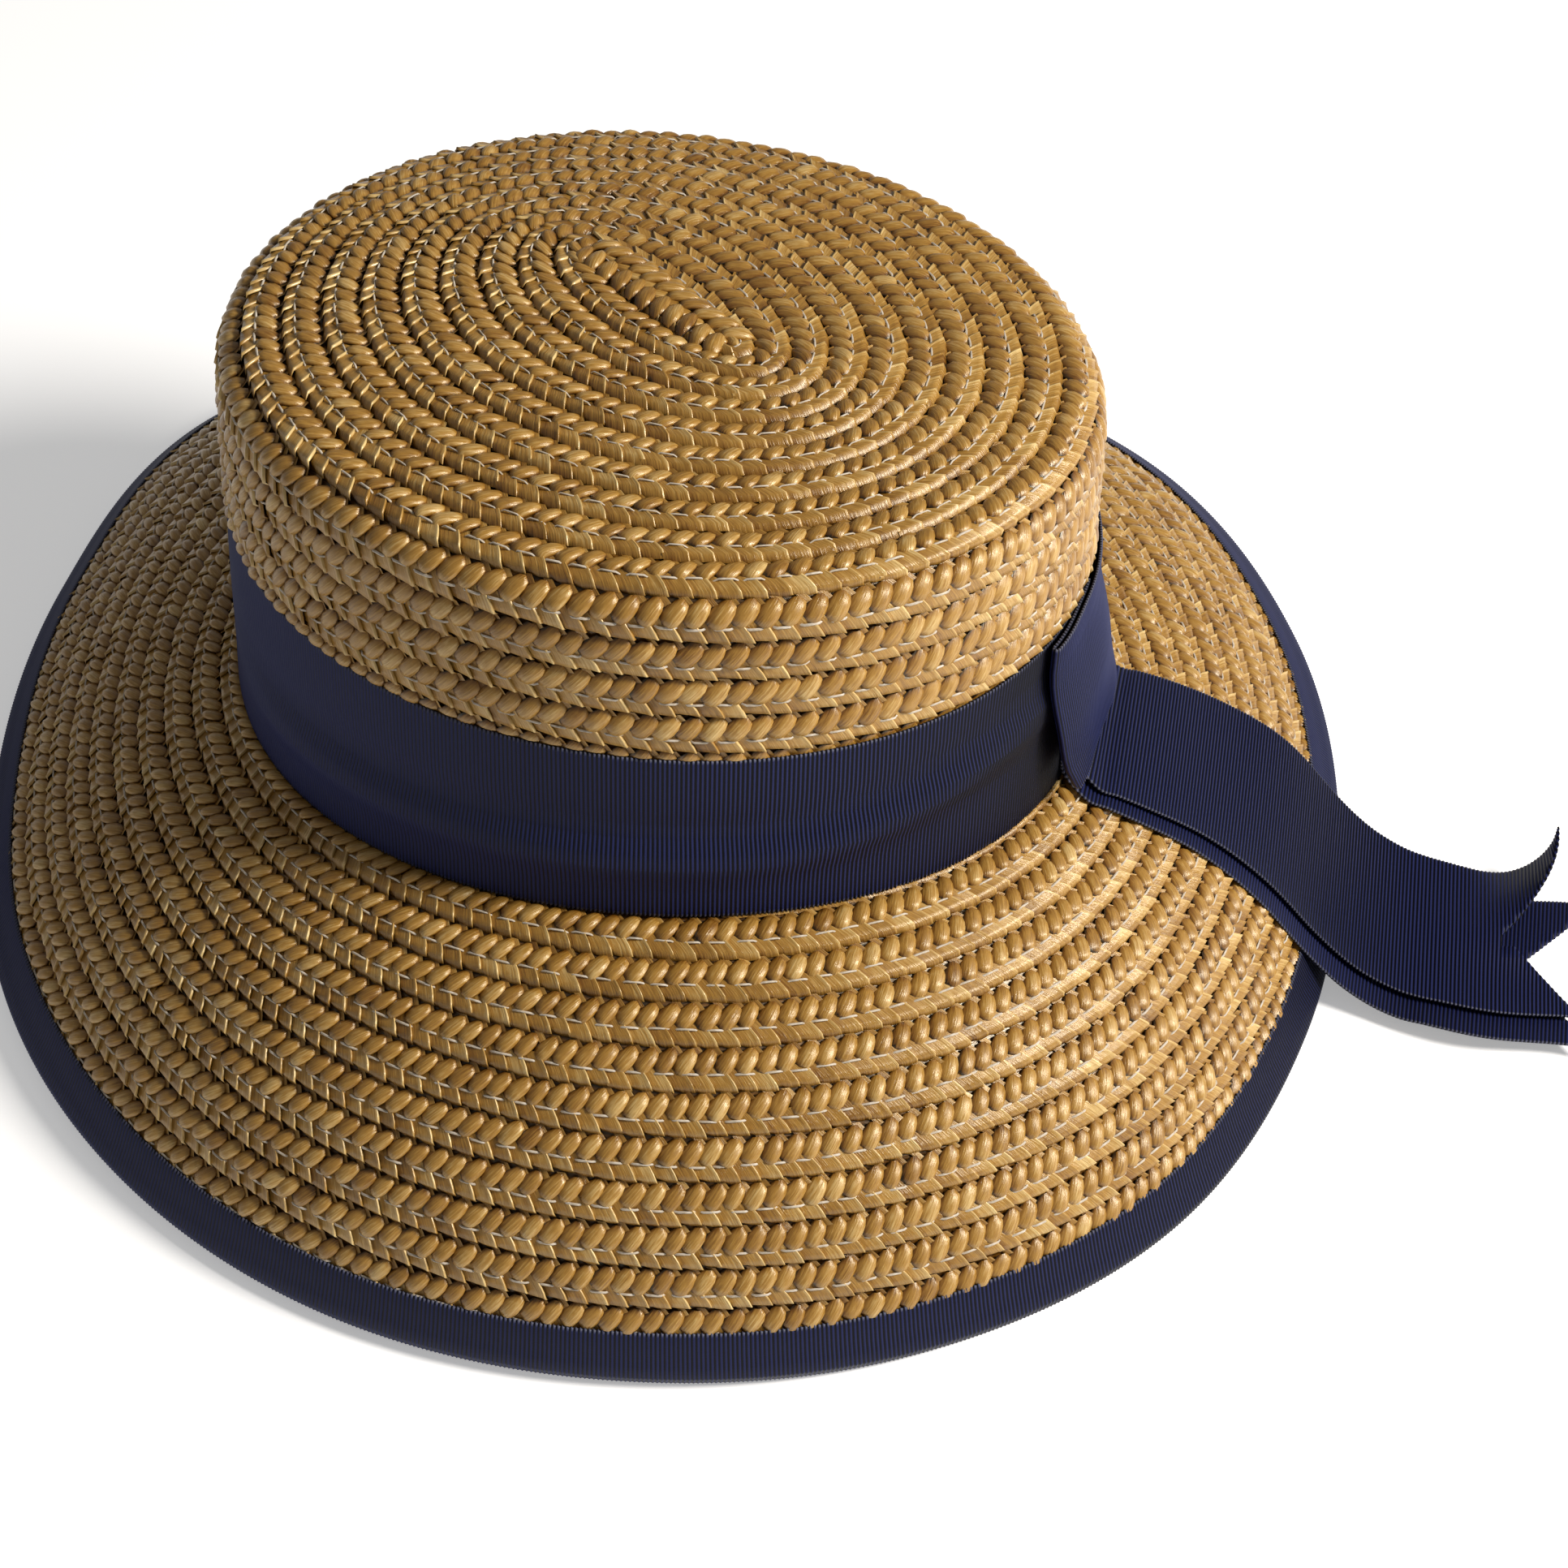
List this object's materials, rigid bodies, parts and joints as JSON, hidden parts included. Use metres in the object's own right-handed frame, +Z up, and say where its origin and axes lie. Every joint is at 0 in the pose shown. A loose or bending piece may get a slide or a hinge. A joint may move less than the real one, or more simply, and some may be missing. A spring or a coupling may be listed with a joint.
{
  "type": "straw hat with ribbon band",
  "caption": "Sewn plaited-straw hat with a flat oval crown, a drooping bell brim, a grosgrain ribbon band with a flat loop and swallowtail tails, and a ribbon-bound edge.",
  "frame": {"origin": "on the surface that the hat rests on, under the middle of its whole box", "axes": "+Z up, +X towards the ribbon tails on the hat's side, -Y towards the hat's front"},
  "size_m": [0.3934, 0.3484, 0.1519],
  "materials": {
    "straw": "plaited natural wheat straw, satin, sewn with cream thread",
    "ribbon": "navy grosgrain ribbon, fine crosswise ribs, matt with a soft sheen"
  },
  "bodies": {
    "root": {"crown": "straw", "brim": "straw", "hat_band": "ribbon", "band_loop": "ribbon", "tail_lower": "ribbon", "tail_upper": "ribbon", "edge_binding": "ribbon"}
  },
  "joints": []
}
